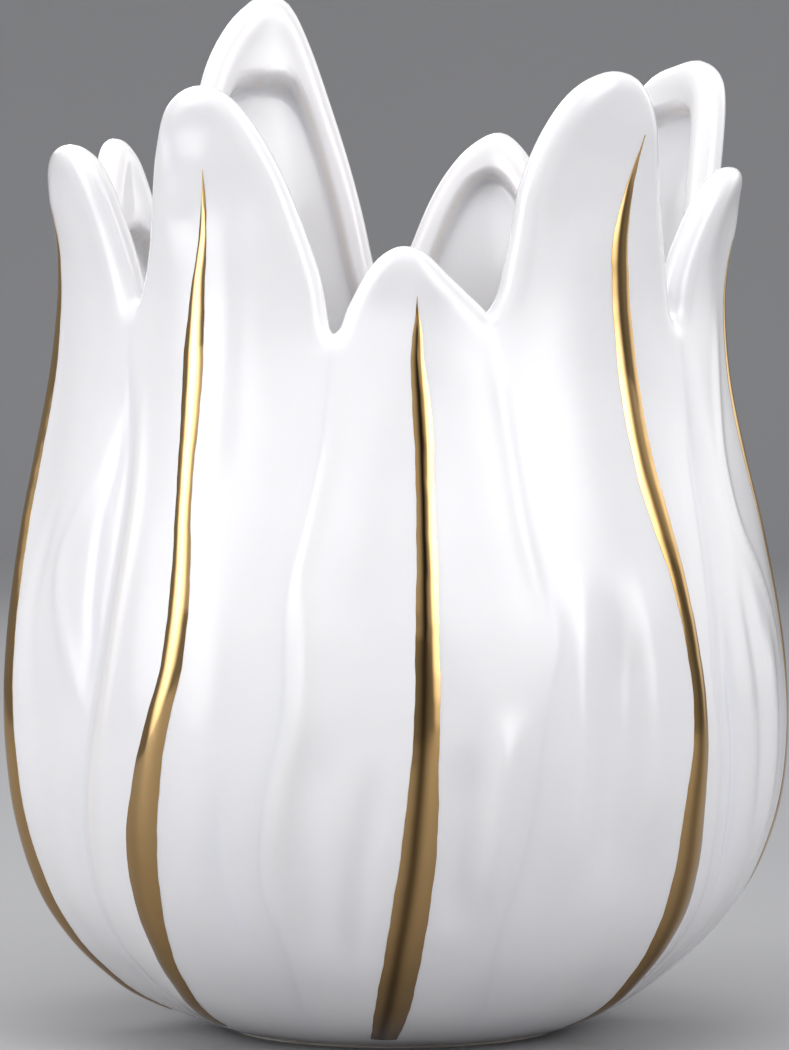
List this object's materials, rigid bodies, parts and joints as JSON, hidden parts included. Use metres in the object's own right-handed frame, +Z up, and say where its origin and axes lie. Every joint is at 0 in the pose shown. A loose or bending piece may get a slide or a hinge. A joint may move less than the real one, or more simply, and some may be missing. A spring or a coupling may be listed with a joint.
{
  "type": "vase",
  "caption": "Round porcelain vase shaped like a tulip, with tall pointed leaves of uneven height round an open mouth, gilded lines on the leaves and a flat foot.",
  "frame": {"origin": "middle of the overall width and depth, on the plane that the foot ring stands on", "axes": "+Z up along the height, -Y towards the short leaf at the front, +X to the viewer's right"},
  "size_m": [0.1885, 0.188, 0.2498],
  "materials": {
    "porcelain_glaze": "glossy white glaze",
    "bisque": "unglazed, matt",
    "gold_lustre": "fired gold lustre, mirror-like"
  },
  "bodies": {
    "root": {"foot_ring": "bisque", "floor_disc": "porcelain_glaze", "petal_1": "porcelain_glaze", "gold_line_1": "gold_lustre", "petal_2": "porcelain_glaze", "gold_line_2": "gold_lustre", "petal_3": "porcelain_glaze", "gold_line_3": "gold_lustre", "petal_4": "porcelain_glaze", "gold_line_4": "gold_lustre", "petal_5": "porcelain_glaze", "gold_line_5": "gold_lustre", "petal_6": "porcelain_glaze", "gold_line_6": "gold_lustre", "petal_7": "porcelain_glaze", "gold_line_7": "gold_lustre", "petal_8": "porcelain_glaze", "gold_line_8": "gold_lustre", "petal_9": "porcelain_glaze", "gold_line_9": "gold_lustre"}
  },
  "joints": []
}
